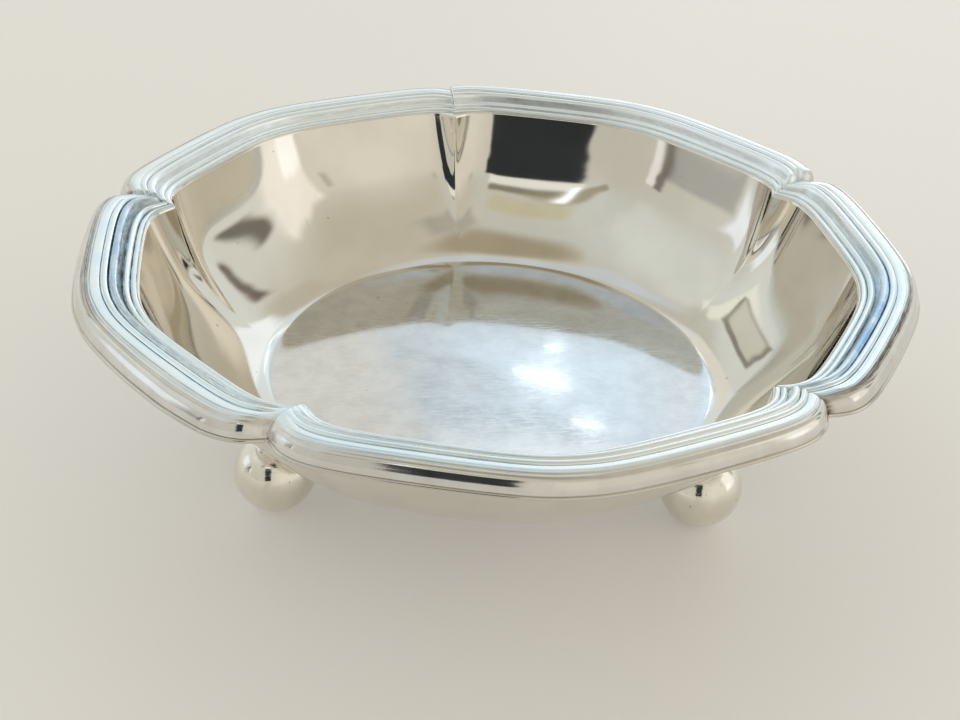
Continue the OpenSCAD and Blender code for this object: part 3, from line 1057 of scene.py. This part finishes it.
def make_world():
    """Soft studio light: a cream ceiling, a cool bright far side, panels and dark flags."""
    world = bpy.data.worlds.new("soft_studio")
    bpy.context.scene.world = world
    world.use_nodes = True
    tree = world.node_tree
    tree.nodes.clear()
    straight = add_node(tree, "ShaderNodeTexCoord").outputs["Generated"]
    wandering = {"Vector": straight, "Scale": WANDER_SCALE}
    drift = add_node(tree, "ShaderNodeTexNoise", wandering).outputs["Color"]
    centred = {0: drift, 1: (0.5, 0.5, 0.5)}
    shift = add_node(tree, "ShaderNodeVectorMath", centred, operation="SUBTRACT").outputs[0]
    spread = {0: shift, 1: (WANDER, WANDER, WANDER), 2: straight}
    place = add_node(tree, "ShaderNodeVectorMath", spread, operation="MULTIPLY_ADD").outputs[0]
    parts = add_node(tree, "ShaderNodeSeparateXYZ", {0: straight}).outputs
    right = mapped(tree, parts["X"], *RIGHT_RANGE)
    near_sky = mixed(tree, right, NEAR_LEFT_COLOUR, NEAR_RIGHT_COLOUR)
    colour = mixed(tree, mapped(tree, parts["Y"], *FAR_RANGE), near_sky, FAR_COLOUR)
    ceiling = mixed(tree, right, CEILING_LEFT_COLOUR, CEILING_RIGHT_COLOUR)
    colour = mixed(tree, mapped(tree, parts["Z"], *CEILING_RANGE), colour, ceiling)
    colour = mixed(tree, mapped(tree, parts["Z"], *ZENITH_RANGE), colour, ZENITH_COLOUR)
    for *shape, share, light in PANELS:
        mask = product(tree, patch(tree, place, *shape), share)
        colour = mixed(tree, mask, colour, light)
    background = add_node(tree, "ShaderNodeBackground", {"Color": colour, "Strength": SKY_STRENGTH})
    output = add_node(tree, "ShaderNodeOutputWorld")
    tree.links.new(background.outputs[0], output.inputs[0])


# Small lamps: azimuth clockwise from +Y, elevation, distance, width and height in metres, power in watts
LAMPS = (
    ("lamp_low", 13.4, 31.0, 1.2, 0.022, 0.009, 0.0008),
    ("lamp_mid", 12.9, 32.65, 1.2, 0.060, 0.010, 0.0031),
    ("lamp_top", 15.6, 34.57, 1.2, 0.042, 0.009, 0.0018),
)
LAMP_COLOUR = (0.93, 0.97, 1.0)


def make_lamps():
    """Faint oval lamps that face the middle of the bowl's floor."""
    target = Vector((0, 0, FLOOR_Z*MM))
    for name, azimuth, elevation, distance, width, height, power in LAMPS:
        data = bpy.data.lights.new(name, "AREA")
        data.shape = "ELLIPSE"
        data.size = width
        data.size_y = height
        data.energy = power
        data.color = LAMP_COLOUR
        lamp = bpy.data.objects.new(name, data)
        lamp.location = target + distance*direction(azimuth, elevation)
        lamp.rotation_euler = (target - lamp.location).to_track_quat("-Z", "Y").to_euler()
        bpy.context.scene.collection.objects.link(lamp)


# Camera, from the photograph: place, heading clockwise from +Y, tilt down, roll and lens
CAMERA_PLACE = (-20.55, -115.49, 82.75)
CAMERA_HEADING = 9.564
CAMERA_TILT = 31.92
CAMERA_ROLL = 3.015
CAMERA_LENS = 51.93
SENSOR_W = 36
CLIP_NEAR = 5
CLIP_FAR = 50000


def make_camera():
    """Camera at the photograph's place, which becomes the scene's camera."""
    ahead, right, up = view_axes(CAMERA_HEADING, -CAMERA_TILT, CAMERA_ROLL)
    data = bpy.data.cameras.new("camera")
    data.lens = CAMERA_LENS
    data.sensor_width = SENSOR_W
    data.sensor_fit = "HORIZONTAL"
    data.clip_start = CLIP_NEAR*MM
    data.clip_end = CLIP_FAR*MM
    camera = bpy.data.objects.new("camera", data)
    turn = Matrix((right, up, -ahead)).transposed()
    camera.matrix_world = Matrix.Translation(Vector(CAMERA_PLACE)*MM) @ turn.to_4x4()
    bpy.context.scene.collection.objects.link(camera)
    bpy.context.scene.camera = camera


make_object()
make_floor()
make_world()
make_lamps()
make_camera()
bpy.context.scene.view_settings.view_transform = "Standard"

bpy.context.view_layer.update()
